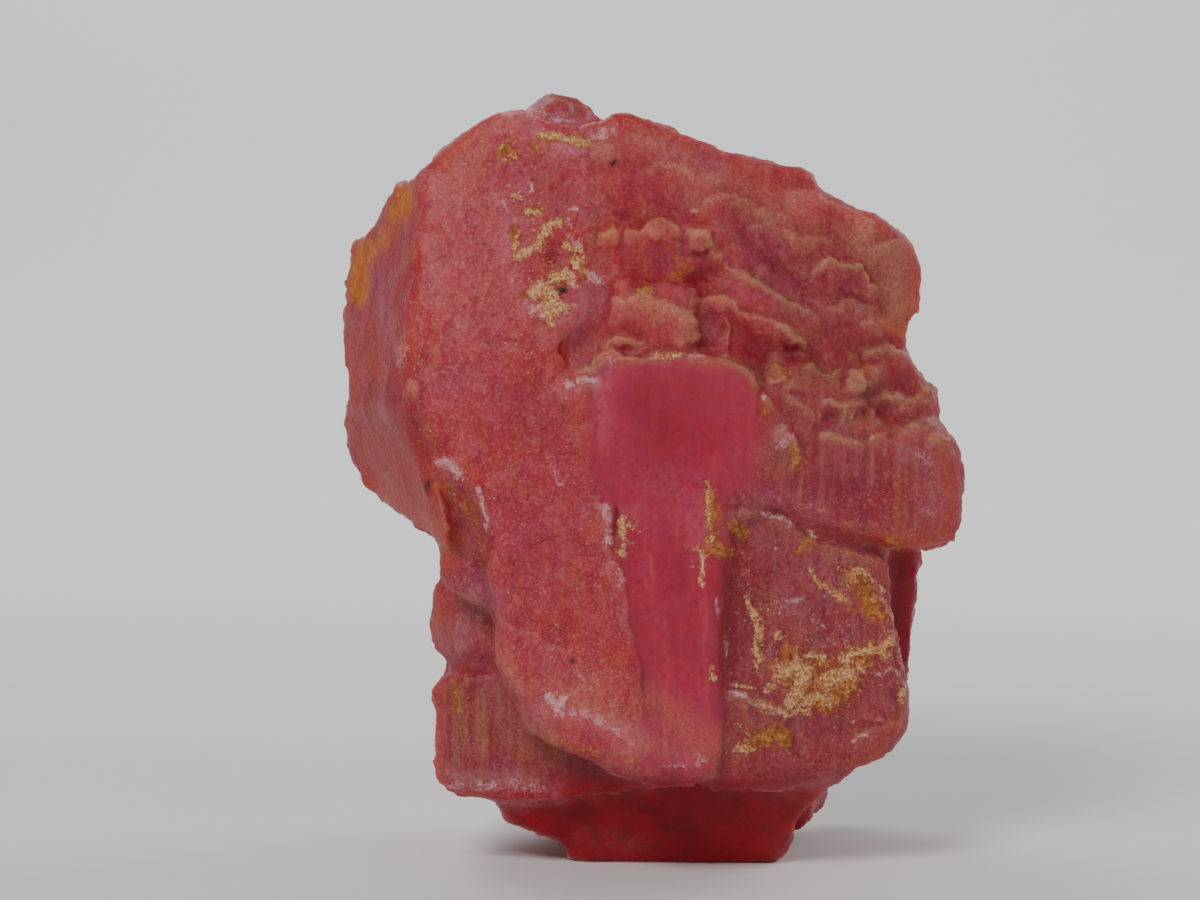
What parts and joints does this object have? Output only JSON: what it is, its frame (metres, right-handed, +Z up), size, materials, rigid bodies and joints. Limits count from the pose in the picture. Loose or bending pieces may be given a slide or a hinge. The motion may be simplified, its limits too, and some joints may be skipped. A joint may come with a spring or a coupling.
{
  "type": "rhodochrosite specimen",
  "caption": "Upright cluster of intergrown rhodochrosite crystals with a rough broad face, a smooth raised column, stepped growth ledges and a flat cleaved foot.",
  "frame": {"origin": "middle of the stone's bounding box, at the height of the flat cleavage face that it stands on", "axes": "+Z up, the stone's longest extent; -Y towards its best side, with the rough face and the smooth column; +X to the right seen from there"},
  "size_m": [0.0206, 0.015, 0.0257],
  "materials": {
    "rhodochrosite": "translucent rose red crystal, sugary on the broad face and glassy on the column, with ochre and cream crusts and rusty stains"
  },
  "bodies": {
    "root": {"rhodochrosite_crystal": "rhodochrosite"}
  },
  "joints": []
}
